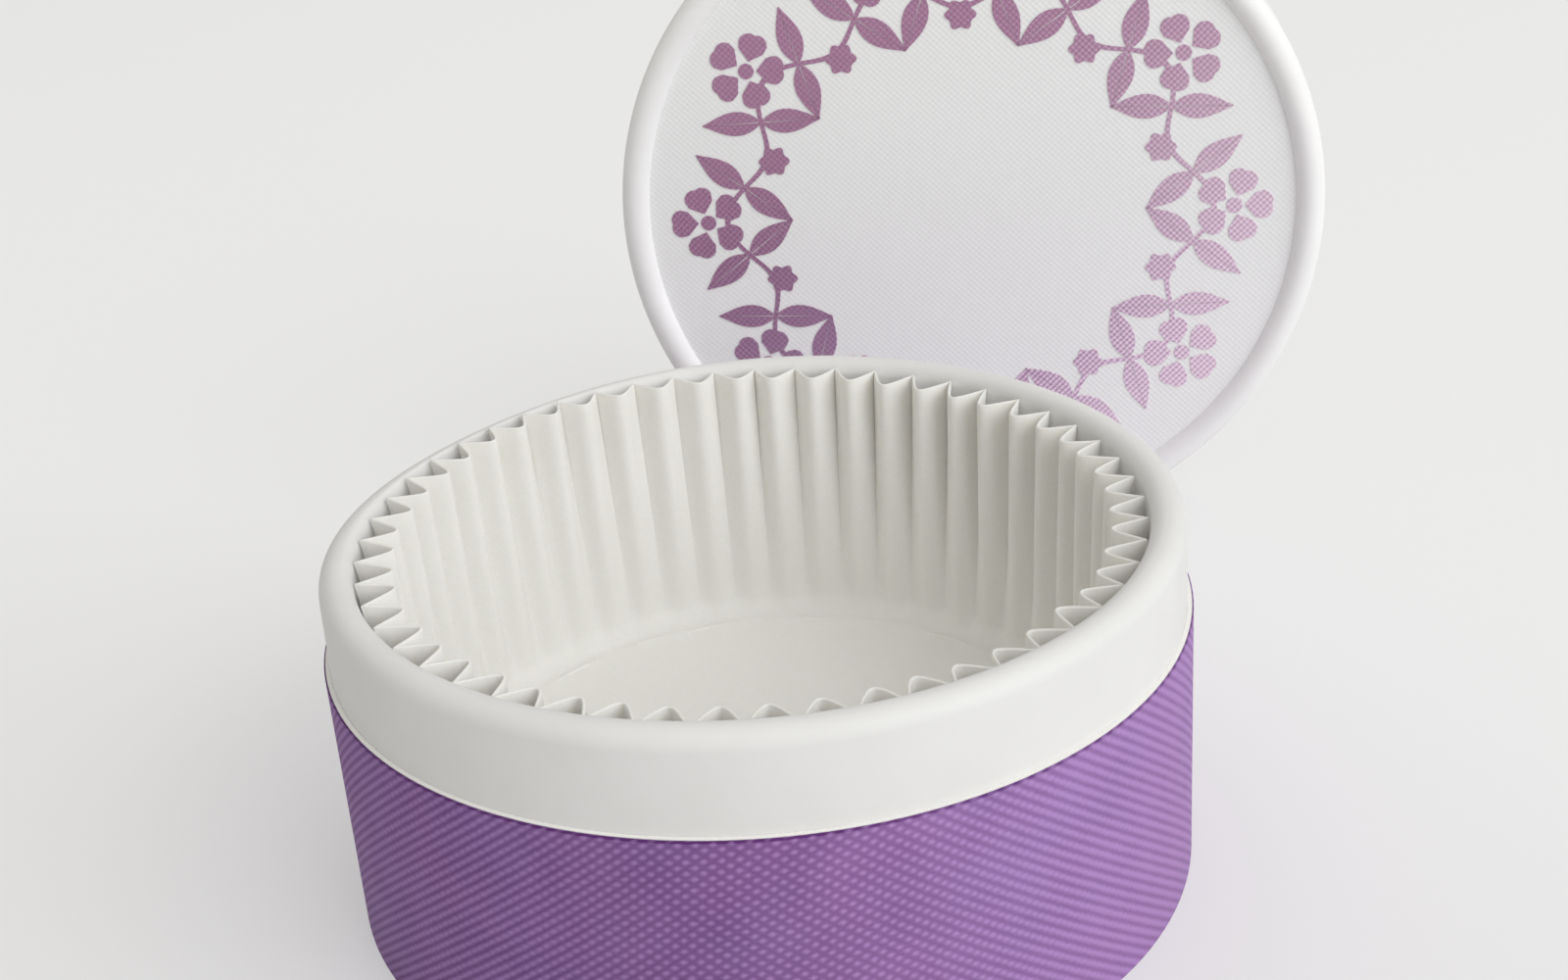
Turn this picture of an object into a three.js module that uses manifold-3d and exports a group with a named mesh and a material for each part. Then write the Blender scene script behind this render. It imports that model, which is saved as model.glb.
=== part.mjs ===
// Pastry box: a round shoulder box with a pleated paper liner, its lid standing on edge behind it.
// Millimetres, +Z up, the origin at the centre of the base's underside, the front towards -Y.
import * as THREE from "three";
import { mergeVertices } from "three/addons/utils/BufferGeometryUtils.js";
import Module from "manifold-3d";

// Base: a board tube with paper round it and a board disc in its foot.
const BASE_RADIUS = 70;
const BASE_HEIGHT = 45.2;
const WRAP_THICKNESS = 0.2;
const WRAP_TOP_MARGIN = 0.1;
const BOARD_THICKNESS = 0.65;
const BOTTOM_THICKNESS = 2;
const GLUE_GAP = 0.05;
const SLIDE_GAP = 0.1;

// Inner tub: the white neck, with a thick rounded rim, a cuff turned in below it and a set-in floor.
const TUB_TOP = 61.05;
const TUB_WALL = 1.2;
const TUB_RIM_WIDTH = 5.7;
const TUB_RIM_THICKNESS = 4.5;
const TUB_RIM_OUTER_ROUND = 2.85;
const TUB_RIM_INNER_ROUND = 2.6;
const TUB_CUFF_DEPTH = 15;
const TUB_CUFF_WALL = 1.2;
const TUB_FLOOR_TOP = 12.5;
const TUB_FLOOR_THICKNESS = 1.2;

// Liner: one sheet in flutes, from a flat round floor up to the rolled rim.
const FLUTES = 52;
const POINTS_PER_FLUTE = 6;
const PAPER = 0.5;
const LINER_TOP_BELOW_RIM = 1.65;
const LINER_RIM_GAP = 0.1;
const FLUTE_DEPTH_TOP = 6;
const FLUTE_DEPTH_FOOT = 1.5;
const LINER_TURN_DEGREES = -2.8;
const LINER_FOOT_RADIUS = 57.5;
const LINER_FOOT_RISE = 3.2;
const LINER_FLOOR_RADIUS = 53;

// Lid: a skirt with a rolled rim, and a flat face set in below it.
const LID_RADIUS = 71.4;
const LID_ROLL_RADIUS = 2.9;
const LID_ROLL_OVERHANG = 0.4;
const LID_WALL = 1.4;
const LID_HEIGHT = 21.5;
const LID_PANEL_RECESS = 2.2;
const LID_PANEL_THICKNESS = 1.2;

// Lid as it stands: on edge behind the box, its face turned to the front and a little to the left.
const LID_STAND_X = 49.1;
const LID_STAND_Y = 107.9;
const LID_TURN_DEGREES = -9;

// Foil wreath on the lid's face, with a bare border round it.
const FOIL_THICKNESS = 0.12;
const WREATH_BORDER = 4;
const WREATH_WAVE = 3.5;
const WREATH_BLOSSOMS = 10;
const STEM_WIDTH = 1.1;
const STEM_POINTS = 80;
const BLOSSOM_RADIUS = 8;
const BLOSSOM_PETALS = 5;
const PETAL_NOTCH_SHARE = 0.2;
const BLOSSOM_POINTS = 20;
const BUD_RADIUS = 3.2;
const BUD_POINTS = 8;
const LEAF_TIP_OVERLAP = 0.2;
const LEAF_WIDTH = 5;
const LEAF_WIDEST_AT = 0.35;
const LEAF_TAPER_AT = 0.7;
const LEAF_TAPER_SHARE = 0.7;
const LEAF_SKEW_RADIANS = 0.5;

// Corner points nearer to each other than this are one point.
const WELD_DISTANCE = 1e-4;

// Facets round every turned piece, and for each radian along a rounded or rolled rim.
const SEGMENTS = 64;
const ROLL_STEPS_PER_RADIAN = 2;
const QUARTER_TURN = Math.PI / 2;
const FULL_TURN = Math.PI * 2;

const BOARD_RADIUS = BASE_RADIUS - WRAP_THICKNESS - GLUE_GAP;
const BOARD_INNER_RADIUS = BOARD_RADIUS - BOARD_THICKNESS;
const TUB_RADIUS = BOARD_INNER_RADIUS - SLIDE_GAP;
const TUB_INNER_RADIUS = TUB_RADIUS - TUB_WALL;
const TUB_RIM_INNER_RADIUS = TUB_RADIUS - TUB_RIM_WIDTH;
const TUB_FOOT = BOTTOM_THICKNESS + GLUE_GAP;

const LINER_UNDERSIDE = TUB_FLOOR_TOP + GLUE_GAP;
const LINER_TOP = TUB_TOP - LINER_TOP_BELOW_RIM;
const LINER_TOP_RADIUS =
  TUB_RIM_INNER_RADIUS * Math.cos(Math.PI / SEGMENTS) - LINER_RIM_GAP - PAPER / 2;

const LID_SKIRT_RADIUS = LID_RADIUS - LID_ROLL_OVERHANG;
const LID_INNER_RADIUS = LID_SKIRT_RADIUS - LID_WALL;
const LID_ROLL_CENTRE_RADIUS = LID_RADIUS - LID_ROLL_RADIUS;
const LID_ROLL_CENTRE_HEIGHT = LID_HEIGHT - LID_ROLL_RADIUS;
const LID_PANEL_RADIUS = LID_ROLL_CENTRE_RADIUS - LID_ROLL_RADIUS - SLIDE_GAP;
const LID_PANEL_TOP = LID_HEIGHT - LID_PANEL_RECESS;
const FOIL_UNDERSIDE = LID_PANEL_TOP + GLUE_GAP;
// The blossoms' centres lie half a blossom outside the stem's outer waves.
const WREATH_REACH = WREATH_WAVE + BLOSSOM_RADIUS / 2 + BLOSSOM_RADIUS;
const WREATH_RADIUS = LID_PANEL_RADIUS - WREATH_BORDER - WREATH_REACH;
// The inner leaves on either side of a blossom are long enough for their tips to meet.
const HALF_REPEAT = Math.PI / WREATH_BLOSSOMS;
const LEAF_LENGTH =
  (WREATH_RADIUS * Math.sin(HALF_REPEAT / 2)) / Math.sin(HALF_REPEAT / 2 + LEAF_SKEW_RADIANS) +
  LEAF_TIP_OVERLAP;

const purplePaper = new THREE.MeshStandardMaterial({ color: 0x7d5091, roughness: 0.6, metalness: 0 });
const creamBoard = new THREE.MeshStandardMaterial({ color: 0xe9e2d4, roughness: 0.85, metalness: 0 });
const whiteCard = new THREE.MeshStandardMaterial({ color: 0xe6e5e1, roughness: 0.5, metalness: 0 });
const linerPaper = new THREE.MeshStandardMaterial({ color: 0xe8e7e2, roughness: 0.8, metalness: 0 });
const linenCard = new THREE.MeshStandardMaterial({ color: 0xe9e8ea, roughness: 0.65, metalness: 0 });
const mauveFoil = new THREE.MeshStandardMaterial({ color: 0xb07a9e, roughness: 0.3, metalness: 0.9 });

// A closed profile of [radius, height] points turned about the Z axis.
function turned(profile) {
  const points = profile.map(([radius, height]) => new THREE.Vector2(radius, height));
  return new THREE.LatheGeometry(points, SEGMENTS).rotateX(QUARTER_TURN);
}

function tube(outerRadius, innerRadius, bottom, top) {
  return turned([
    [innerRadius, bottom],
    [outerRadius, bottom],
    [outerRadius, top],
    [innerRadius, top],
    [innerRadius, bottom],
  ]);
}

function disc(radius, bottom, top) {
  return turned([
    [0, bottom],
    [radius, bottom],
    [radius, top],
    [0, top],
  ]);
}

// Points round a rim's arc, anticlockwise from one angle to another about the arc's centre.
function rollArc(centreRadius, centreHeight, rollRadius, from, to) {
  const points = [];
  const steps = Math.ceil((to - from) * ROLL_STEPS_PER_RADIAN);
  for (let i = 0; i <= steps; i++) {
    const angle = from + ((to - from) * i) / steps;
    points.push([
      centreRadius + rollRadius * Math.cos(angle),
      centreHeight + rollRadius * Math.sin(angle),
    ]);
  }
  return points;
}

// The angle on the roll's underside at which it meets a wall of the given radius.
function meetingAngle(centreRadius, rollRadius, wallRadius) {
  return FULL_TURN - Math.acos((wallRadius - centreRadius) / rollRadius);
}

function baseWrap() {
  return tube(BASE_RADIUS, BASE_RADIUS - WRAP_THICKNESS, 0, BASE_HEIGHT - WRAP_TOP_MARGIN);
}

function baseBoard() {
  return tube(BOARD_RADIUS, BOARD_INNER_RADIUS, 0, BASE_HEIGHT);
}

function baseBottom() {
  return disc(BOARD_INNER_RADIUS - GLUE_GAP, 0, BOTTOM_THICKNESS);
}

function innerTub() {
  const outer = TUB_RIM_OUTER_ROUND;
  const inner = TUB_RIM_INNER_ROUND;
  const cuffOuterRadius = TUB_RIM_INNER_RADIUS + TUB_CUFF_WALL;
  const cuffBottom = TUB_TOP - TUB_CUFF_DEPTH;
  const rimUnderside = TUB_TOP - TUB_RIM_THICKNESS;
  return turned([
    [0, TUB_FLOOR_TOP - TUB_FLOOR_THICKNESS],
    [TUB_INNER_RADIUS, TUB_FLOOR_TOP - TUB_FLOOR_THICKNESS],
    [TUB_INNER_RADIUS, TUB_FOOT],
    [TUB_RADIUS, TUB_FOOT],
    ...rollArc(TUB_RADIUS - outer, TUB_TOP - outer, outer, 0, QUARTER_TURN),
    ...rollArc(TUB_RIM_INNER_RADIUS + inner, TUB_TOP - inner, inner, QUARTER_TURN, Math.PI),
    [TUB_RIM_INNER_RADIUS, cuffBottom],
    [cuffOuterRadius, cuffBottom],
    [cuffOuterRadius, rimUnderside],
    [TUB_INNER_RADIUS, rimUnderside],
    [TUB_INNER_RADIUS, TUB_FLOOR_TOP],
    [0, TUB_FLOOR_TOP],
  ]);
}

// One ring of the fluted sheet's middle line: sharp folds at the outer radius, round crests inside.
function fluteLine(outerRadius, depth) {
  const count = FLUTES * POINTS_PER_FLUTE;
  const start = THREE.MathUtils.degToRad(LINER_TURN_DEGREES);
  return Array.from({ length: count }, (_, i) => {
    const inward = depth * Math.sin((Math.PI * (i % POINTS_PER_FLUTE)) / POINTS_PER_FLUTE);
    const angle = start + (FULL_TURN * i) / count;
    return new THREE.Vector2(Math.cos(angle), Math.sin(angle)).multiplyScalar(outerRadius - inward);
  });
}

// The same ring moved off its middle line by a distance, outward when that is positive.
function offsetLine(line, distance) {
  const count = line.length;
  return line.map((point, i) => {
    const along = line[(i + 1) % count].clone().sub(line[(i + count - 1) % count]).normalize();
    return new THREE.Vector2(point.x + along.y * distance, point.y - along.x * distance);
  });
}

// A closed skin over rings of equal length, each with its height, with a centre point at either end.
function skinOverRings(rings) {
  const count = rings[0].line.length;
  const positions = [0, 0, rings[0].height];
  const triangles = [];
  for (const { line, height } of rings) {
    for (const point of line) positions.push(point.x, point.y, height);
  }
  const lastCentre = positions.length / 3;
  positions.push(0, 0, rings[rings.length - 1].height);
  const vertex = (ring, i) => 1 + ring * count + (i % count);
  for (let i = 0; i < count; i++) {
    triangles.push(0, vertex(0, i + 1), vertex(0, i));
    for (let ring = 0; ring + 1 < rings.length; ring++) {
      triangles.push(vertex(ring, i), vertex(ring, i + 1), vertex(ring + 1, i + 1));
      triangles.push(vertex(ring, i), vertex(ring + 1, i + 1), vertex(ring + 1, i));
    }
    triangles.push(vertex(rings.length - 1, i), vertex(rings.length - 1, i + 1), lastCentre);
  }
  const geometry = new THREE.BufferGeometry();
  geometry.setAttribute("position", new THREE.Float32BufferAttribute(positions, 3));
  geometry.setIndex(triangles);
  geometry.computeVertexNormals();
  return geometry;
}

function pleatedLiner() {
  const half = PAPER / 2;
  const top = fluteLine(LINER_TOP_RADIUS, FLUTE_DEPTH_TOP);
  const foot = fluteLine(LINER_FOOT_RADIUS, FLUTE_DEPTH_FOOT);
  const floor = fluteLine(LINER_FLOOR_RADIUS, 0);
  const footHeight = LINER_UNDERSIDE + LINER_FOOT_RISE;
  return skinOverRings([
    { line: offsetLine(floor, half), height: LINER_UNDERSIDE },
    { line: offsetLine(foot, half), height: footHeight },
    { line: offsetLine(top, half), height: LINER_TOP },
    { line: offsetLine(top, -half), height: LINER_TOP },
    { line: offsetLine(foot, -half), height: footHeight + PAPER },
    { line: offsetLine(floor, -half), height: LINER_UNDERSIDE + PAPER },
  ]);
}

// The lid is drawn face up, its open edge at height 0, and its group stands it on edge.
function lidWall() {
  const start = -Math.acos(1 - LID_ROLL_OVERHANG / LID_ROLL_RADIUS);
  const end = meetingAngle(LID_ROLL_CENTRE_RADIUS, LID_ROLL_RADIUS, LID_INNER_RADIUS);
  return turned([
    [LID_INNER_RADIUS, 0],
    [LID_SKIRT_RADIUS, 0],
    ...rollArc(LID_ROLL_CENTRE_RADIUS, LID_ROLL_CENTRE_HEIGHT, LID_ROLL_RADIUS, start, end),
    [LID_INNER_RADIUS, 0],
  ]);
}

function lidPanel() {
  return disc(LID_PANEL_RADIUS, LID_PANEL_TOP - LID_PANEL_THICKNESS, LID_PANEL_TOP);
}

// A flat piece of foil from an outline of points, lying on the lid's face.
function foilPiece(outline, hole) {
  const shape = new THREE.Shape(outline);
  if (hole) shape.holes.push(new THREE.Path(hole));
  const settings = { depth: FOIL_THICKNESS, bevelEnabled: false };
  return new THREE.ExtrudeGeometry(shape, settings).translate(0, 0, FOIL_UNDERSIDE);
}

function placed(points, angle, x, y) {
  const origin = new THREE.Vector2();
  const shift = new THREE.Vector2(x, y);
  return points.map((point) => point.clone().rotateAround(origin, angle).add(shift));
}

// A closed outline whose radius follows the given function of the angle.
function roundOutline(count, radiusAt) {
  return Array.from({ length: count }, (_, i) => {
    const angle = (FULL_TURN * i) / count;
    return new THREE.Vector2(Math.cos(angle), Math.sin(angle)).multiplyScalar(radiusAt(angle));
  });
}

function leafOutline(length, width) {
  return [
    new THREE.Vector2(0, 0),
    new THREE.Vector2(length * LEAF_WIDEST_AT, -width / 2),
    new THREE.Vector2(length * LEAF_TAPER_AT, (-width * LEAF_TAPER_SHARE) / 2),
    new THREE.Vector2(length, 0),
    new THREE.Vector2(length * LEAF_TAPER_AT, (width * LEAF_TAPER_SHARE) / 2),
    new THREE.Vector2(length * LEAF_WIDEST_AT, width / 2),
  ];
}

function stemRadius(angle) {
  return WREATH_RADIUS + WREATH_WAVE * Math.cos(WREATH_BLOSSOMS * angle);
}

function stem() {
  const outer = roundOutline(STEM_POINTS, (angle) => stemRadius(angle) + STEM_WIDTH / 2);
  const inner = roundOutline(STEM_POINTS, (angle) => stemRadius(angle) - STEM_WIDTH / 2);
  return foilPiece(outer, inner.reverse());
}

// One repeat of the wreath: a blossom outside the stem, a bud inside it and leaves between them.
function sprig(angle) {
  const at = (turn, radius) => [Math.cos(turn) * radius, Math.sin(turn) * radius];
  const petals = roundOutline(
    BLOSSOM_POINTS,
    (turn) => BLOSSOM_RADIUS * (1 - PETAL_NOTCH_SHARE * (1 - Math.cos(BLOSSOM_PETALS * turn))),
  );
  const bud = roundOutline(BUD_POINTS, () => BUD_RADIUS);
  const budAngle = angle + HALF_REPEAT;
  const leaf = leafOutline(LEAF_LENGTH, LEAF_WIDTH);
  const leafPair = (side) => {
    const leafAngle = angle + (side * HALF_REPEAT) / 2;
    const crossing = at(leafAngle, stemRadius(leafAngle));
    const lean = leafAngle + side * LEAF_SKEW_RADIANS;
    return [
      foilPiece(placed(leaf, lean, ...crossing)),
      foilPiece(placed(leaf, lean + Math.PI, ...crossing)),
    ];
  };
  return [
    foilPiece(placed(petals, angle, ...at(angle, stemRadius(angle) + BLOSSOM_RADIUS / 2))),
    foilPiece(placed(bud, budAngle, ...at(budAngle, stemRadius(budAngle) - BUD_RADIUS / 2))),
    ...leafPair(1),
    ...leafPair(-1),
  ];
}

function solidFrom(wasm, geometry) {
  const bare = geometry.index ? geometry.toNonIndexed() : geometry.clone();
  bare.deleteAttribute("normal");
  bare.deleteAttribute("uv");
  const merged = mergeVertices(bare, WELD_DISTANCE);
  return new wasm.Manifold(
    new wasm.Mesh({
      numProp: 3,
      vertProperties: new Float32Array(merged.attributes.position.array),
      triVerts: new Uint32Array(merged.index.array),
    }),
  );
}

function geometryFrom(solid) {
  const mesh = solid.getMesh();
  const geometry = new THREE.BufferGeometry();
  geometry.setAttribute("position", new THREE.Float32BufferAttribute(mesh.vertProperties, 3));
  geometry.setIndex(new THREE.BufferAttribute(mesh.triVerts, 1));
  geometry.computeVertexNormals();
  return geometry;
}

// The whole wreath as one film: the stem joined with every sprig.
async function lidFoil() {
  const wasm = await Module();
  wasm.setup();
  let film = solidFrom(wasm, stem());
  for (let i = 0; i < WREATH_BLOSSOMS; i++) {
    for (const piece of sprig((FULL_TURN * i) / WREATH_BLOSSOMS)) {
      film = film.add(solidFrom(wasm, piece));
    }
  }
  return geometryFrom(film);
}

function part(name, geometry, material) {
  const mesh = new THREE.Mesh(geometry, material);
  mesh.name = name;
  return mesh;
}

const box = new THREE.Group();
box.add(part("base_wrap", baseWrap(), purplePaper));
box.add(part("base_board", baseBoard(), creamBoard));
box.add(part("base_bottom", baseBottom(), creamBoard));
box.add(part("inner_tub", innerTub(), whiteCard));
box.add(part("pleated_liner", pleatedLiner(), linerPaper));

const lid = new THREE.Group();
lid.add(part("lid_wall", lidWall(), whiteCard));
lid.add(part("lid_panel", lidPanel(), linenCard));
lid.add(part("lid_foil", await lidFoil(), mauveFoil));

// The lid's face plane stands on the stated point, its lowest edge on the floor.
const lidTurn = THREE.MathUtils.degToRad(LID_TURN_DEGREES);
const facing = new THREE.Vector3(Math.sin(lidTurn), -Math.cos(lidTurn), 0);
lid.rotation.set(QUARTER_TURN, 0, lidTurn, "ZYX");
lid.position.set(LID_STAND_X, LID_STAND_Y, LID_RADIUS).addScaledVector(facing, -LID_HEIGHT);
box.add(lid);

export default box;
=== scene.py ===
"""The looks of a round pastry box: embossed purple base, white neck, pleated paper liner and foiled lid.

All sizes are in metres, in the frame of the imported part: the origin is the centre of the base's underside,
+Z is up and the front is towards -Y.
"""

import logging
import math
import random
from collections.abc import Callable, Sequence
from dataclasses import dataclass, field
from enum import Enum

import bpy
from mathutils import Matrix, Vector


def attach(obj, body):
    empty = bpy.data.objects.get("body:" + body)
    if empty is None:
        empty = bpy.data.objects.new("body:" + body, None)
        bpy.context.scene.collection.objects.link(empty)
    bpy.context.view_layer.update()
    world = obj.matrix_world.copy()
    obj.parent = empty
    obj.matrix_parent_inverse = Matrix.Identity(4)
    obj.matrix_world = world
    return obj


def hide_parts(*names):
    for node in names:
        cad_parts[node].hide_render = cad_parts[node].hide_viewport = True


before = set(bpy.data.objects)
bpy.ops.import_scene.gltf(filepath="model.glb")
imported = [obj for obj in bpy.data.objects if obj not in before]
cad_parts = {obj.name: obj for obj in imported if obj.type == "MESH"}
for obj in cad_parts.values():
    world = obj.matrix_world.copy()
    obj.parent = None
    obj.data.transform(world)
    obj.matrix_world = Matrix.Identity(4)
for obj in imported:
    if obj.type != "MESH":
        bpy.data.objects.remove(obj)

LOG = logging.getLogger("pastry_box")

MM = 0.001
BODY = "root"
SURFACE_MAP = "surface"
FULL_TURN = math.tau
SHARP_ANGLE = math.radians(46.0)
SAME_POINT = 1e-7

GLUE_GAP = 0.05 * MM
LINER_RIM_GAP = 0.4 * MM
LINER_TOP_BELOW_RIM = 1.65 * MM
THREAD_PITCH = 0.9 * MM

Point = tuple[float, float]
Colour = tuple[float, float, float]
Value = float | bpy.types.NodeSocket


class Slot(Enum):
    """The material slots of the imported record."""

    PURPLE_PAPER = "purple_paper"
    BOARD = "board"
    WHITE_CARD = "white_card"
    LINER_PAPER = "liner_paper"
    LINEN_CARD = "linen_card"
    MAUVE_FOIL = "mauve_foil"


class MathOperation(Enum):
    """The sums that a finish works out in its nodes."""

    ADD = "ADD"
    SUBTRACT = "SUBTRACT"
    MULTIPLY = "MULTIPLY"
    MULTIPLY_ADD = "MULTIPLY_ADD"
    SINE = "SINE"
    MAXIMUM = "MAXIMUM"


class Finish:
    """A surface finish, made as one node material the first time that it is used."""

    name: str = "finish"

    def __init__(self) -> None:
        """Starts an empty node tree with a shader and its output."""
        self.made = bpy.data.materials.new(self.name)
        self.made.use_nodes = True
        self.nodes = self.made.node_tree.nodes
        self.links = self.made.node_tree.links
        self.nodes.clear()
        self.output = self.nodes.new("ShaderNodeOutputMaterial")
        self.shader = self.nodes.new("ShaderNodeBsdfPrincipled")
        self.links.new(self.shader.outputs["BSDF"], self.output.inputs["Surface"])

    def set_plain(self, **values: float) -> None:
        """Sets uniform values on the shader's own sockets.

        Args:
            values: socket names, with _ for each space, and their values.
        """
        for key, value in values.items():
            self.shader.inputs[key.replace("_", " ")].default_value = value

    def sum(self, operation: MathOperation, *values: Value) -> bpy.types.NodeSocket:
        """Adds one sum to the tree.

        Args:
            operation: which sum.
            values: numbers, or the outputs of other nodes.

        Returns:
            The sum's output.
        """
        node = self.nodes.new("ShaderNodeMath")
        node.operation = operation.value
        for socket, value in zip(node.inputs, values):
            if isinstance(value, bpy.types.NodeSocket):
                self.links.new(value, socket)
            else:
                socket.default_value = value
        return node.outputs[0]

    def scaled(self, value: Value, factor: Value, added: Value) -> bpy.types.NodeSocket:
        """Multiplies a value by a factor and adds to it."""
        return self.sum(MathOperation.MULTIPLY_ADD, value, factor, added)

    def surface_axes(self) -> tuple[bpy.types.NodeSocket, bpy.types.NodeSocket]:
        """Gives the surface's own two axes from the mesh's UV map.

        Returns:
            The distance along each axis, in metres.
        """
        place = self.nodes.new("ShaderNodeUVMap")
        place.uv_map = SURFACE_MAP
        split = self.nodes.new("ShaderNodeSeparateXYZ")
        self.links.new(place.outputs["UV"], split.inputs["Vector"])
        return split.outputs["X"], split.outputs["Y"]

    def spot(self) -> bpy.types.NodeSocket:
        """Gives the place of each point in the part's own frame."""
        return self.nodes.new("ShaderNodeTexCoord").outputs["Object"]

    def share_along(self, axis: Vector, start: float, end: float) -> bpy.types.NodeSocket:
        """Gives how far along an axis each point lies, from 0 at the start to 1 at the end.

        Args:
            axis: the axis, through the part's origin.
            start: the distance along it at which the share is 0.
            end: the distance along it at which the share is 1.

        Returns:
            The share, held between 0 and 1.
        """
        dot = self.nodes.new("ShaderNodeVectorMath")
        dot.operation = "DOT_PRODUCT"
        self.links.new(self.spot(), dot.inputs[0])
        dot.inputs[1].default_value = axis
        spread = self.nodes.new("ShaderNodeMapRange")
        spread.interpolation_type = "SMOOTHSTEP"
        spread.inputs["From Min"].default_value = start
        spread.inputs["From Max"].default_value = end
        self.links.new(dot.outputs["Value"], spread.inputs["Value"])
        return spread.outputs["Result"]

    def wave(self, along: Value, across: Value, slope: Point, pitch: float) -> bpy.types.NodeSocket:
        """A sine across the surface.

        Args:
            along: the surface's first axis.
            across: its second axis.
            slope: how much of each axis the wave runs along.
            pitch: the distance from one crest to the next.

        Returns:
            The wave's height, from -1 to 1.
        """
        first = self.sum(MathOperation.MULTIPLY, along, slope[0] * FULL_TURN / pitch)
        phase = self.scaled(across, slope[1] * FULL_TURN / pitch, first)
        return self.sum(MathOperation.SINE, phase)

    def linen(self, pitch: float) -> bpy.types.NodeSocket:
        """A fine lattice of two diagonal waves.

        Args:
            pitch: the distance from one thread to the next.

        Returns:
            The lattice's height, from 0 to 1.
        """
        along, across = self.surface_axes()
        diagonal = math.sqrt(0.5)
        one = self.wave(along, across, (diagonal, diagonal), pitch)
        other = self.wave(along, across, (-diagonal, diagonal), pitch)
        return self.scaled(self.sum(MathOperation.ADD, one, other), 0.25, 0.5)

    def noise(self, scale: float, detail: float = 3.0) -> bpy.types.NodeSocket:
        """Cloudy unevenness in the piece's own space.

        Args:
            scale: lumps per metre.
            detail: how many finer octaves it has.

        Returns:
            The noise, from 0 to 1.
        """
        node = self.nodes.new("ShaderNodeTexNoise")
        node.inputs["Scale"].default_value = scale
        node.inputs["Detail"].default_value = detail
        self.links.new(self.spot(), node.inputs["Vector"])
        return node.outputs["Fac"]

    def tint(self, amount: bpy.types.NodeSocket, low: Colour, high: Colour,
             span: Point = (0.0, 1.0)) -> None:
        """Colours the shader between two tints.

        Args:
            amount: where between the tints each place is.
            low: the tint at the span's start.
            high: the tint at its end.
            span: the amounts at which each tint is whole.
        """
        ramp = self.nodes.new("ShaderNodeValToRGB")
        ramp.color_ramp.elements[0].position = span[0]
        ramp.color_ramp.elements[0].color = (*low, 1.0)
        ramp.color_ramp.elements[1].position = span[1]
        ramp.color_ramp.elements[1].color = (*high, 1.0)
        self.links.new(amount, ramp.inputs["Fac"])
        self.links.new(ramp.outputs["Color"], self.shader.inputs["Base Color"])

    def vary_hue(self, amount: bpy.types.NodeSocket, reach: float) -> None:
        """Shifts the shader's tint to either side of its hue.

        Args:
            amount: where each place lies between the two shifts, from 0 to 1.
            reach: the whole shift, as a share of the colour circle.
        """
        shift = self.nodes.new("ShaderNodeHueSaturation")
        base = self.shader.inputs["Base Color"]
        self.links.new(base.links[0].from_socket, shift.inputs["Color"])
        hue = self.scaled(amount, reach, 0.5 - reach / 2)
        self.links.new(hue, shift.inputs["Hue"])
        self.links.new(shift.outputs["Color"], base)

    def relief(self, height: bpy.types.NodeSocket, depth: float, strength: float = 1.0) -> None:
        """Adds a relief to the shader, over any relief that it has already.

        Args:
            height: the relief's height, from 0 to 1 or from -1 to 1.
            depth: what a height of 1 stands for, in metres.
            strength: how much of the relief shows.
        """
        bump = self.nodes.new("ShaderNodeBump")
        bump.inputs["Distance"].default_value = depth
        bump.inputs["Strength"].default_value = strength
        self.links.new(height, bump.inputs["Height"])
        before = self.shader.inputs["Normal"].links
        if before:
            self.links.new(before[0].from_socket, bump.inputs["Normal"])
        self.links.new(bump.outputs["Normal"], self.shader.inputs["Normal"])


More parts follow.
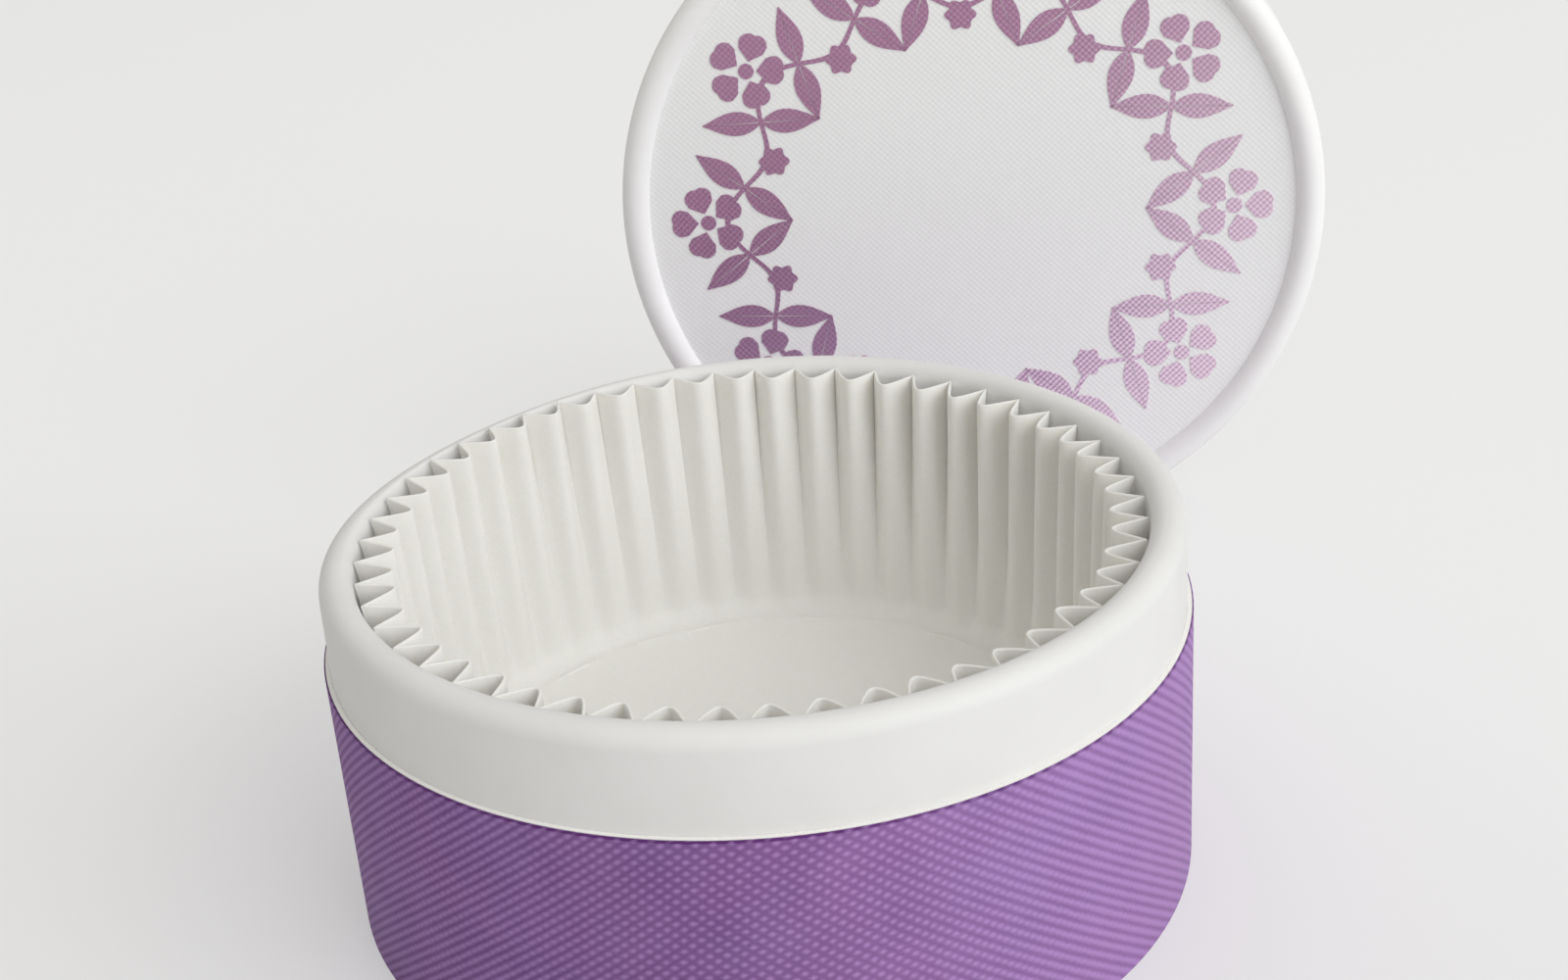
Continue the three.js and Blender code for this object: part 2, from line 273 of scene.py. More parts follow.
class PurplePaper(Finish):
    """Purple covering paper, embossed with two sets of slanting ribs that cross into beads at the front."""

    name = "purple_paper"
    rising_pitch = 1.35 * MM
    falling_pitch = 1.6 * MM
    rib_angle = math.radians(37.0)
    rib_depth = 0.10 * MM
    ragged_grain = 900.0
    raggedness = 0.45 * MM
    fading_start = 6.0 * MM
    fading_end = 46.0 * MM
    faded = 0.75
    crest_highlight_share = 0.55
    speckle_grain = 2200.0
    speckle_share = 0.25
    blotch_grain = 110.0
    blotch_share = 0.25
    # Painted light: the paper pales towards its right side (+X), where the key light falls; this shows from
    # every side.
    painted_light_start = -45.0 * MM
    painted_light_end = 60.0 * MM
    painted_light_share = 0.34
    # Painted shade: a darker band along the paper's top edge, where shade falls at its joint with the board.
    edge_height = 44.55 * MM
    edge_fade = 0.35 * MM
    painted_edge_shade = 0.45
    hue_grain = 45.0
    hue_reach = 0.045
    dark: Colour = (0.118, 0.032, 0.172)
    light: Colour = (0.436, 0.253, 0.557)

    def ribs(self, along: Value, across: Value, side: float, pitch: float) -> bpy.types.NodeSocket:
        """One set of ribs, which fades towards one side of the box.

        Args:
            along: the surface's axis round the box.
            across: its axis up the box.
            side: 1 for the ribs that fall to the right and fade to the left, -1 for the others.
            pitch: the distance from one rib to the next.

        Returns:
            The ribs' height, from 0 to 1.
        """
        slope = (side * math.sin(self.rib_angle), math.cos(self.rib_angle))
        groove = self.scaled(self.wave(along, across, slope, pitch), -0.5, 0.5)
        fading = self.share_along(Vector((-side, 0.0, 0.0)), self.fading_start, self.fading_end)
        depth = self.scaled(fading, -self.faded, 1.0)
        return self.sum(MathOperation.SUBTRACT, 1.0, self.sum(MathOperation.MULTIPLY, groove, depth))

    def __init__(self) -> None:
        """Presses the ribs and paints light and shade into the colour: highlights on the crests, a paler right
        side for the key light, and shade along the top edge.
        """
        super().__init__()
        along, across = self.surface_axes()
        ragged = self.scaled(self.noise(self.ragged_grain), self.raggedness, along)
        height = self.sum(MathOperation.MULTIPLY, self.ribs(ragged, across, -1.0, self.rising_pitch),
                          self.ribs(ragged, across, 1.0, self.falling_pitch))
        # Painted highlight and shade: the ribs' crests are tinted lighter and their grooves darker, standing
        # in for the light on the relief.
        crests = self.sum(MathOperation.MULTIPLY, height, self.crest_highlight_share)
        speckled = self.scaled(self.noise(self.speckle_grain), self.speckle_share, crests)
        blotched = self.scaled(self.noise(self.blotch_grain), self.blotch_share, speckled)
        # Painted light: paler towards the right side, standing in for the key light there.
        painted_light = self.share_along(Vector((1.0, 0.0, 0.0)), self.painted_light_start, self.painted_light_end)
        with_painted_light = self.scaled(painted_light, self.painted_light_share, blotched)
        # Painted shade along the top edge, at the joint with the board.
        edge = self.share_along(Vector((0.0, 0.0, 1.0)), self.edge_height, self.edge_height + self.edge_fade)
        edge_shaded = self.scaled(edge, -self.painted_edge_shade, with_painted_light)
        self.tint(edge_shaded, self.dark, self.light)
        self.vary_hue(self.noise(self.hue_grain), self.hue_reach)
        self.relief(height, self.rib_depth)
        self.set_plain(Roughness=0.6, Specular_IOR_Level=0.12)


class BoardEdge(Finish):
    """Off-white board, with the fibres of its cut edge."""

    name = "board_edge"
    low: Colour = (0.90, 0.885, 0.86)
    high: Colour = (0.95, 0.94, 0.92)
    tint_span: Point = (0.3, 0.7)
    fibre_grain = 2600.0
    fibre_octaves = 5.0
    fibre_depth = 0.05 * MM

    def __init__(self) -> None:
        """Mottles the board and roughens it."""
        super().__init__()
        fibres = self.noise(self.fibre_grain, self.fibre_octaves)
        self.tint(fibres, self.low, self.high, self.tint_span)
        self.relief(fibres, self.fibre_depth)
        self.set_plain(Roughness=0.9, Specular_IOR_Level=0.2)


class WhiteCard(Finish):
    """Smooth white covering paper with a soft sheen."""

    name = "white_card"
    low: Colour = (0.810, 0.807, 0.797)
    high: Colour = (0.835, 0.832, 0.824)
    tint_span: Point = (0.35, 0.65)
    mottle_grain = 60.0
    fine_grain = 3200.0
    fine_octaves = 4.0
    fine_depth = 0.012 * MM

    def __init__(self) -> None:
        """Gives the card its faint mottle and grain."""
        super().__init__()
        self.tint(self.noise(self.mottle_grain), self.low, self.high, self.tint_span)
        self.relief(self.noise(self.fine_grain, self.fine_octaves), self.fine_depth)
        self.set_plain(Roughness=0.55, Specular_IOR_Level=0.35)


class LidCardPaintedLighter(WhiteCard):
    """The lid's covering paper: the tub's white card painted lighter, standing in for the extra light that
    falls on the lid.
    """

    name = "lid_card_painted_lighter"
    low: Colour = (0.950, 0.950, 0.946)
    high: Colour = (0.970, 0.970, 0.967)


class LinerPaper(Finish):
    """Thin greaseproof paper that lets a little light through."""

    name = "liner_paper"
    low: Colour = (0.858, 0.846, 0.806)
    high: Colour = (0.878, 0.868, 0.832)
    tint_span: Point = (0.35, 0.65)
    fine_grain = 1800.0
    fine_octaves = 4.0
    fine_depth = 0.004 * MM
    slow_grain = 120.0
    slow_octaves = 2.0
    slow_depth = 0.25 * MM
    slow_strength = 0.5
    leak_reach = 1.2 * MM
    leak_colour: Colour = (1.0, 0.9, 0.75)

    def __init__(self) -> None:
        """Gives the sheet a fine grain, slow waves and the light that leaks through it."""
        super().__init__()
        grain = self.noise(self.fine_grain, self.fine_octaves)
        self.tint(grain, self.low, self.high, self.tint_span)
        self.relief(self.noise(self.slow_grain, self.slow_octaves), self.slow_depth, self.slow_strength)
        self.relief(grain, self.fine_depth)
        self.set_plain(Roughness=0.62, Specular_IOR_Level=0.3)
        self.set_plain(Subsurface_Weight=0.35, Subsurface_Scale=self.leak_reach)
        self.shader.inputs["Subsurface Radius"].default_value = self.leak_colour


class LinenCard(Finish):
    """White card pressed with a fine linen lattice, painted lighter than the tub's card to stand in for the
    extra light on the lid.
    """

    name = "linen_card"
    # Painted light: both tints are lighter than the tub's white card, for the lid's extra light; the darker
    # valley tint is painted shade.
    shaded_valley: Colour = (0.925, 0.932, 0.934)
    thread: Colour = (0.970, 0.976, 0.976)
    thread_depth = 0.05 * MM

    def __init__(self) -> None:
        """Presses the linen into the card, with painted shade in its valleys and painted highlights on its
        threads.
        """
        super().__init__()
        lattice = self.linen(THREAD_PITCH)
        # Painted shade and highlight: the lattice's valleys are tinted darker and its threads lighter.
        self.tint(lattice, self.shaded_valley, self.thread)
        self.relief(lattice, self.thread_depth)
        self.set_plain(Roughness=0.6, Specular_IOR_Level=0.35)


class MauveFoil(Finish):
    """Hot-stamped mauve foil that takes the linen's lattice, with a painted reflection that pales it towards
    the lid's lower right.
    """

    name = "mauve_foil"
    mauve: Colour = (0.50, 0.235, 0.42)
    reflection_pink: Colour = (1.0, 0.83, 0.96)
    # Painted reflection: where and how strongly the foil pales towards the lower right.
    painted_light_axis = Vector((0.62, 0.0, -0.78))
    painted_light_start = -60.0 * MM
    painted_light_end = 36.0 * MM
    painted_light_share = 0.5
    glint_share = 0.25
    glint_rise = 0.45
    thread_depth = 0.09 * MM

    def __init__(self) -> None:
        """Presses the linen into the metal, paints a reflection that pales it towards the lower right and
        paints glints on the lattice's threads.
        """
        super().__init__()
        lattice = self.linen(THREAD_PITCH)
        # Painted reflection: the foil is tinted from dark mauve to pale pink towards the lid's lower right,
        # standing in for the reflection that brightens it there.
        painted_light = self.share_along(self.painted_light_axis, self.painted_light_start, self.painted_light_end)
        # Painted glints: the lattice's threads are tinted lighter, more where the painted reflection is
        # stronger.
        glint_strength = self.scaled(painted_light, self.glint_rise, self.glint_share)
        glinting_threads = self.sum(MathOperation.MULTIPLY, lattice, glint_strength)
        with_painted_reflection = self.scaled(painted_light, self.painted_light_share, glinting_threads)
        self.tint(with_painted_reflection, self.mauve, self.reflection_pink)
        self.relief(lattice, self.thread_depth)
        self.set_plain(Metallic=0.8, Roughness=0.36)


@dataclass(frozen=True)
class Skin:
    """A mesh in the making: its points, its faces and each face's places on the surface map."""

    points: list[Vector] = field(default_factory=list)
    faces: list[tuple[int, ...]] = field(default_factory=list)
    map_places: list[tuple[Point, ...]] = field(default_factory=list)

    def to_object(self, name: str, finish: Finish, slot: Slot, replaced: Sequence[str],
                  place: Matrix | None = None) -> bpy.types.Object:
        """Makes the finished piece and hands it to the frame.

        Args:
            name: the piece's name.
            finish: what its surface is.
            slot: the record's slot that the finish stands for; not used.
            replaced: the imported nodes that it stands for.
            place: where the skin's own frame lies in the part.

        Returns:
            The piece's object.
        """
        mesh = bpy.data.meshes.new(name)
        spots = [place @ p for p in self.points] if place else self.points
        mesh.from_pydata([tuple(p) for p in spots], [], self.faces)
        surface = mesh.uv_layers.new(name=SURFACE_MAP)
        places = [spot for face in self.map_places for spot in face]
        surface.data.foreach_set("uv", [value for spot in places for value in spot])
        mesh.polygons.foreach_set("use_smooth", [True] * len(mesh.polygons))
        mesh.set_sharp_from_angle(angle=SHARP_ANGLE)
        mesh.materials.append(finish.made)
        mesh.validate()
        piece = bpy.data.objects.new(name, mesh)
        bpy.context.scene.collection.objects.link(piece)
        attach(piece, BODY)
        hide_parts(*replaced)
        return piece


def turned_skin(profile: Sequence[Point], segments: int, flat_map: bool = False) -> Skin:
    """Turns a closed profile of radii and heights about the Z axis.

    Args:
        profile: points anticlockwise round the section, those on the axis only at its two ends.
        segments: how many steps go round.
        flat_map: whether the surface map is the plan view, and not the unrolled wall.

    Returns:
        The skin.
    """
    skin = Skin()
    on_axis = profile[0][0] == 0.0
    rings = list(profile) if on_axis else [*profile, profile[0]]
    lengths = [0.0]
    for before, after in zip(rings, rings[1:]):
        lengths.append(lengths[-1] + math.dist(before, after))
    for radius, height in rings:
        for step in range(segments):
            turn = FULL_TURN * step / segments
            skin.points.append(Vector((radius * math.cos(turn), radius * math.sin(turn), height)))
    for ring in range(len(rings) - 1):
        reach = max(rings[ring][0], rings[ring + 1][0])
        for step in range(segments):
            after = (step + 1) % segments
            corners = (ring * segments + step, ring * segments + after,
                       (ring + 1) * segments + after, (ring + 1) * segments + step)
            turn, next_turn = FULL_TURN * step / segments, FULL_TURN * (step + 1) / segments
            if flat_map:
                spots = tuple((skin.points[c].x, skin.points[c].y) for c in corners)
            else:
                spots = ((reach * turn, lengths[ring]), (reach * next_turn, lengths[ring]),
                         (reach * next_turn, lengths[ring + 1]), (reach * turn, lengths[ring + 1]))
            add_face(skin, corners, spots)
    return skin


def add_face(skin: Skin, corners: Sequence[int], spots: Sequence[Point]) -> None:
    """Adds one face, leaving out corners that lie on each other.

    Args:
        skin: the skin that gets the face.
        corners: its corners' numbers.
        spots: their places on the surface map.
    """
    kept: list[int] = []
    for number, corner in enumerate(corners):
        before = skin.points[corners[number - 1]]
        if (skin.points[corner] - before).length > SAME_POINT:
            kept.append(number)
    if len(kept) >= 3:
        skin.faces.append(tuple(corners[k] for k in kept))
        skin.map_places.append(tuple(spots[k] for k in kept))


def arc(centre: Point, radius: float, start: float, end: float, steps: int) -> list[Point]:
    """Points along an arc of a section.

    Args:
        centre: the arc's centre.
        radius: its radius.
        start: the angle of its first point, in radians.
        end: the angle of its last point.
        steps: how many steps it takes.

    Returns:
        The points, both ends included.
    """
    turns = [start + (end - start) * step / steps for step in range(steps + 1)]
    return [(centre[0] + radius * math.cos(t), centre[1] + radius * math.sin(t)) for t in turns]


@dataclass
class Base:
    """The lower part: a board tube with purple paper round it."""

    radius: float = 70.0 * MM
    height: float = 45.2 * MM
    wrap_thickness: float = 0.2 * MM
    wrap_top_margin: float = 0.1 * MM
    board_thickness: float = 0.65 * MM
    slide_gap: float = 0.1 * MM
    seen_gap: float = 0.02 * MM
    edge_round: float = 0.15 * MM
    edge_steps: int = 3
    segments: int = 256

    @property
    def board_radius(self) -> float:
        """The board tube's outer radius."""
        return self.radius - self.wrap_thickness - GLUE_GAP

    @property
    def tub_radius(self) -> float:
        """The radius left for the tub that stands in the base."""
        return self.board_radius - self.board_thickness - self.slide_gap

    def build_wrap(self, finish: Finish) -> bpy.types.Object:
        """Makes the covering paper, its two edges a little rounded.

        Args:
            finish: the piece's surface.

        Returns:
            The piece's object.
        """
        inner = self.radius - self.wrap_thickness
        top = self.height - self.wrap_top_margin
        small = self.edge_round
        quarter = math.pi / 2
        profile = [
            (inner, 0.0),
            *arc((self.radius - small, small), small, -quarter, 0.0, self.edge_steps),
            *arc((self.radius - small, top - small), small, 0.0, quarter, self.edge_steps),
            (inner, top),
        ]
        skin = turned_skin(profile, self.segments)
        return skin.to_object("base_covering", finish, Slot.PURPLE_PAPER, ["base_wrap"])

    def build_board(self, finish: Finish) -> bpy.types.Object:
        """Makes the board tube, whose cut edge shows above the paper, close round the tub.

        Args:
            finish: the piece's surface.

        Returns:
            The piece's object.
        """
        inner = self.tub_radius + self.seen_gap
        profile = [(inner, 0.0), (self.board_radius, 0.0), (self.board_radius, self.height),
                   (inner, self.height)]
        skin = turned_skin(profile, self.segments)
        return skin.to_object("base_tube", finish, Slot.BOARD, ["base_board"])

    def dress_bottom(self, finish: Finish) -> bpy.types.Object:
        """Gives the board disc in the base's foot its finish.

        Args:
            finish: the piece's surface.

        Returns:
            The piece's object.
        """
        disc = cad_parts["base_bottom"]
        disc.data.materials.clear()
        disc.data.materials.append(finish.made)
        return disc


@dataclass
class Tub:
    """The white inner tub: a thick rounded rim, a cuff turned in below it and a set-in floor."""

    radius: float
    top: float = 61.05 * MM
    wall: float = 1.2 * MM
    rim_width: float = 5.7 * MM
    rim_thickness: float = 4.5 * MM
    outer_round: float = 2.85 * MM
    inner_round: float = 2.6 * MM
    cuff_depth: float = 15.0 * MM
    cuff_wall: float = 1.2 * MM
    floor_top: float = 12.5 * MM
    floor_thickness: float = 1.2 * MM
    foot: float = 2.05 * MM
    round_steps: int = 14
    segments: int = 256
    sag_from: float = 46.0 * MM
    sag_degrees: float = 138.0
    sag_spread: float = 36.0
    sag_inward: float = 2.2 * MM
    sag_down: float = 1.0 * MM

    @property
    def rim_inner(self) -> float:
        """The rim's inner radius."""
        return self.radius - self.rim_width

    def build(self, finish: Finish) -> bpy.types.Object:
        """Makes the tub in one piece with its rim.

        Args:
            finish: the piece's surface.

        Returns:
            The piece's object.
        """
        inner = self.radius - self.wall
        cuff_outer = self.rim_inner + self.cuff_wall
        cuff_bottom = self.top - self.cuff_depth
        rim_underside = self.top - self.rim_thickness
        outer_centre = (self.radius - self.outer_round, self.top - self.outer_round)
        inner_centre = (self.rim_inner + self.inner_round, self.top - self.inner_round)
        quarter = math.pi / 2
        profile = [
            (0.0, self.floor_top - self.floor_thickness),
            (inner, self.floor_top - self.floor_thickness),
            (inner, self.foot),
            (self.radius, self.foot),
            (self.radius, self.sag_from),
            *arc(outer_centre, self.outer_round, 0.0, quarter, self.round_steps),
            *arc(inner_centre, self.inner_round, quarter, 2 * quarter, self.round_steps),
            (self.rim_inner, cuff_bottom),
            (cuff_outer, cuff_bottom),
            (cuff_outer, rim_underside),
            (inner, rim_underside),
            (inner, self.floor_top),
            (0.0, self.floor_top),
        ]
        skin = turned_skin(profile, self.segments)
        self.sag(skin)
        return skin.to_object("tub", finish, Slot.WHITE_CARD, ["inner_tub"])

    def sag(self, skin: Skin) -> None:
        """Lets the neck sag a little out of round at the back left, as photographed.

        Args:
            skin: the tub's skin, whose points are moved.
        """
        middle = (self.rim_inner + self.radius) / 2
        for number, point in enumerate(skin.points):
            reach = math.hypot(point.x, point.y)
            climb = (point.z - self.sag_from) / (self.top - self.sag_from)
            if climb <= 0.0:
                continue
            share = climb * swell(math.atan2(point.y, point.x), self.sag_degrees, self.sag_spread)
            outward = min(1.0, max(0.0, (reach - self.rim_inner) / (middle - self.rim_inner)))
            shrink = 1.0 - self.sag_inward * share * outward / reach
            skin.points[number] = Vector((point.x * shrink, point.y * shrink, point.z - self.sag_down * share))


def swell(turn: float, centre_degrees: float, spread_degrees: float) -> float:
    """A smooth swell round the box.

    Args:
        turn: the angle round the box, in radians.
        centre_degrees: where the swell is whole.
        spread_degrees: how far from there it has mostly faded.

    Returns:
        The swell at the angle, from 0 to 1.
    """
    away = (math.degrees(turn) - centre_degrees + 180.0) % 360.0 - 180.0
    return math.exp(-(away / spread_degrees) ** 2)


@dataclass
class Liner:
    """The pleated paper cup: sharp folds outside, round crests inside, easing out into a flat floor."""

    top_radius: float
    top: float
    underside: float
    flutes: int = 52
    steps_per_flute: int = 20
    paper: float = 0.5 * MM
    depth_top: float = 6.0 * MM
    depth_foot: float = 1.2 * MM
    foot_radius: float = 57.5 * MM
    foot_rise: float = 3.2 * MM
    floor_radius: float = 53.0 * MM
    crease_lift: float = 0.45 * MM
    tilt: float = 0.8 * MM
    tilt_degrees: float = 120.0
    lift: float = 0.6 * MM
    lift_degrees: float = 138.0
    lift_spread: float = 40.0
    shallow_degrees: float = 105.0
    shallow_spread: float = 34.0
    shallow_share: float = 0.35
    turn_degrees: float = -2.8
    floor_rings: tuple[float, ...] = (0.25, 0.6, 0.9, 0.972)
    crease_ring: float = 0.983
    crease_end_ring: float = 0.996
    crease_wander: float = 0.35 * MM
    crease_wander_waves: float = 13.0
    crease_break_waves: Point = (5.0, 17.0)
    corner_steps: int = 5
    wall_levels: int = 16
    deepening: float = 0.8
    crest_power: float = 0.85
    softness_foot: float = 0.9
    softness_top: float = 0.3
    least_depth: float = 0.88
    lean_reach: float = 0.14
    lean_at_foot: float = 0.35
    edge_unevenness: float = 0.35 * MM
    lip_shares: tuple[float, ...] = (0.5, 0.35, 0.0, -0.35, -0.5)
    seed: int = 4

    def __post_init__(self) -> None:
        """Draws each flute's own small differences."""
        chance = random.Random(self.seed)
        flutes = range(self.flutes)
        self.depth_share = [chance.uniform(self.least_depth, 1.0) * self.slack(flute) for flute in flutes]
        self.lean = [chance.uniform(-self.lean_reach, self.lean_reach) for _ in flutes]
        self.edge_drop = [chance.uniform(0.0, self.edge_unevenness) for _ in flutes]

    def slack(self, flute: int) -> float:
        """How deep a flute is: the sheet is stretched flatter at the back."""
        turn = math.radians(self.turn_degrees) + FULL_TURN * (flute + 0.5) / self.flutes
        return 1.0 - self.shallow_share * swell(turn, self.shallow_degrees, self.shallow_spread)

    def levels(self) -> list[tuple[float, float, float]]:
        """The sheet's rings, from the floor to the top.

        Returns:
            Each ring's fold radius, flute depth and height.
        """
        rings = [(self.floor_radius * share, 0.0, self.underside) for share in self.floor_rings]
        rings.append((self.floor_radius * self.crease_ring, 0.0, self.underside + self.crease_lift))
        rings.append((self.floor_radius * self.crease_end_ring, 0.0, self.underside))
        for step in range(1, self.corner_steps + 1):
            share = step / self.corner_steps
            bend = share * share
            radius = self.floor_radius + (self.foot_radius - self.floor_radius) * share
            rings.append((radius, self.depth_foot * bend, self.underside + self.foot_rise * bend))
        for step in range(1, self.wall_levels + 1):
            share = step / self.wall_levels
            radius = self.foot_radius + (self.top_radius - self.foot_radius) * share
            depth = self.depth_foot + (self.depth_top - self.depth_foot) * share ** self.deepening
            height = self.underside + self.foot_rise
            rings.append((radius, depth, height + (self.top - height) * share))
        return rings

    def ring(self, fold_radius: float, depth: float, height: float) -> list[Vector]:
        """One ring of the sheet's middle.

        Args:
            fold_radius: the radius of the outer folds.
            depth: how far inside them the crests lie.
            height: the ring's height.

        Returns:
            Its points.
        """
        count = self.flutes * self.steps_per_flute
        climb = (height - self.underside) / (self.top - self.underside)
        creased = depth == 0.0 and height > self.underside
        start = math.radians(self.turn_degrees)
        points = []
        for number in range(count):
            flute, step = divmod(number, self.steps_per_flute)
            phase = step / self.steps_per_flute
            wave = math.sin(math.pi * phase)
            skew = self.lean[flute] * wave * (self.lean_at_foot + (1.0 - self.lean_at_foot) * climb)
            softness = self.softness_foot + (self.softness_top - self.softness_foot) * climb
            full = wave ** self.crest_power
            crest = full + (wave * wave - full) * softness
            inward = depth * self.depth_share[flute] * crest
            turn = start + FULL_TURN * (flute + phase + skew / 2) / self.flutes
            radius = fold_radius - inward
            drop = self.edge_drop[flute] * crest * climb
            drop -= self.tilt * climb * math.cos(turn - math.radians(self.tilt_degrees))
            drop -= self.lift * climb * swell(turn, self.lift_degrees, self.lift_spread)
            if creased:
                radius += self.crease_wander * math.sin(self.crease_wander_waves * turn)
                first, second = (math.sin(waves * turn) for waves in self.crease_break_waves)
                drop = self.crease_lift * (1.0 + first * second) / 2
            points.append(Vector((radius * math.cos(turn), radius * math.sin(turn), height - drop)))
        return points

    def build(self, finish: Finish) -> bpy.types.Object:
        """Makes the sheet with its paper's thickness.

        Args:
            finish: the piece's surface.

        Returns:
            The piece's object.
        """
        rings = [self.ring(*level) for level in self.levels()]
        outer = [offset_ring(ring, self.paper / 2) for ring in rings]
        inner = [offset_ring(ring, -self.paper / 2) for ring in rings]
        floor_rings = sum(1 for _, depth, _ in self.levels() if depth == 0.0)
        for number, ring in enumerate(inner[:-1]):
            lift = self.paper if number < floor_rings else self.paper * 0.5
            inner[number] = [p + Vector((0.0, 0.0, lift)) for p in ring]
        lip = [self.lip_ring(rings[-1], share) for share in self.lip_shares]
        skin = Skin()
        loops = [*outer[:-1], *lip, *reversed(inner[:-1])]
        count = len(loops[0])
        for loop in loops:
            skin.points.extend(loop)
        bottom, top = len(skin.points), len(skin.points) + 1
        skin.points.append(Vector((0.0, 0.0, self.underside)))
        skin.points.append(Vector((0.0, 0.0, self.underside + self.paper)))
        for step in range(count):
            after = (step + 1) % count
            self.add(skin, (bottom, after, step))
            for loop in range(len(loops) - 1):
                start, end = loop * count, (loop + 1) * count
                self.add(skin, (start + step, start + after, end + after, end + step))
            last = (len(loops) - 1) * count
            self.add(skin, (last + step, last + after, top))
        return skin.to_object("liner", finish, Slot.LINER_PAPER, ["pleated_liner"])

    def lip_ring(self, ring: Sequence[Vector], share: float) -> list[Vector]:
        """One ring of the sheet's rounded top edge.

        Args:
            ring: the sheet's middle at its top.
            share: how far across the paper the ring lies, from 0.5 outside to -0.5 inside.

        Returns:
            The ring's points.
        """
        fall = self.paper * 0.5 * (1.0 - math.sqrt(1.0 - 4.0 * share * share))
        moved = offset_ring(ring, self.paper * share)
        return [point - Vector((0.0, 0.0, fall)) for point in moved]

    @staticmethod
    def add(skin: Skin, corners: Sequence[int]) -> None:
        """Adds a face whose surface map is its plan view."""
        spots = [(skin.points[c].x, skin.points[c].y) for c in corners]
        add_face(skin, corners, spots)


def offset_ring(ring: Sequence[Vector], distance: float) -> list[Vector]:
    """Moves a ring of points off its own line, level with it.

    Args:
        ring: the points, anticlockwise seen from above.
        distance: how far, outward when positive.

    Returns:
        The moved points.
    """
    moved = []
    for number, point in enumerate(ring):
        along = ring[(number + 1) % len(ring)] - ring[number - 1]
        along.z = 0.0
        along.normalize()
        moved.append(point + Vector((along.y, -along.x, 0.0)) * distance)
    return moved


@dataclass
class Lid:
    """The lid, drawn face up from its open edge and then stood on edge behind the box."""

    radius: float = 71.4 * MM
    roll_radius: float = 2.9 * MM
    roll_overhang: float = 0.4 * MM
    wall: float = 1.4 * MM
    height: float = 21.5 * MM
    panel_recess: float = 2.2 * MM
    panel_thickness: float = 1.2 * MM
    seat_gap: float = 0.1 * MM
    stand: Point = (49.1 * MM, 107.9 * MM)
    turn_degrees: float = -9.0
    roll_steps: int = 40
    segments: int = 256

    @property
    def place(self) -> Matrix:
        """Where the lid's own frame lies in the part."""
        turn = math.radians(self.turn_degrees)
        facing = Vector((math.sin(turn), -math.cos(turn), 0.0))
        spot = Vector((self.stand[0], self.stand[1], self.radius)) - facing * self.height
        return (Matrix.Translation(spot) @ Matrix.Rotation(turn, 4, "Z")
                @ Matrix.Rotation(math.pi / 2, 4, "X"))

    @property
    def roll_centre(self) -> Point:
        """The middle of the rolled rim's section."""
        return self.radius - self.roll_radius, self.height - self.roll_radius

    @property
    def panel_top(self) -> float:
        """The height of the lid's face above its open edge."""
        return self.height - self.panel_recess

    def build_wall(self, finish: Finish) -> bpy.types.Object:
        """Makes the skirt in one piece with its rolled rim.

        Args:
            finish: the piece's surface.

        Returns:
            The piece's object.
        """
        skirt = self.radius - self.roll_overhang
        inner = skirt - self.wall
        start = -math.acos(1.0 - self.roll_overhang / self.roll_radius)
        end = FULL_TURN - math.acos((inner - self.roll_centre[0]) / self.roll_radius)
        profile = [
            (inner, 0.0),
            (skirt, 0.0),
            *arc(self.roll_centre, self.roll_radius, start, end, self.roll_steps),
        ]
        skin = turned_skin(profile, self.segments)
        return skin.to_object("lid_skirt", finish, Slot.WHITE_CARD, ["lid_wall"], self.place)

    def build_panel(self, finish: Finish) -> bpy.types.Object:
        """Makes the set-in face.

        Args:
            finish: the piece's surface.

        Returns:
            The piece's object.
        """
        edge = self.roll_centre[0] - self.roll_radius - self.seat_gap
        over_centre = self.roll_radius - self.panel_recess
        top_edge = self.roll_centre[0] - math.sqrt(self.roll_radius ** 2 - over_centre ** 2)
        profile = [(0.0, self.panel_top - self.panel_thickness),
                   (edge, self.panel_top - self.panel_thickness),
                   (top_edge, self.panel_top), (0.0, self.panel_top)]
        skin = turned_skin(profile, self.segments, flat_map=True)
        return skin.to_object("lid_face", finish, Slot.LINEN_CARD, ["lid_panel"], self.place)


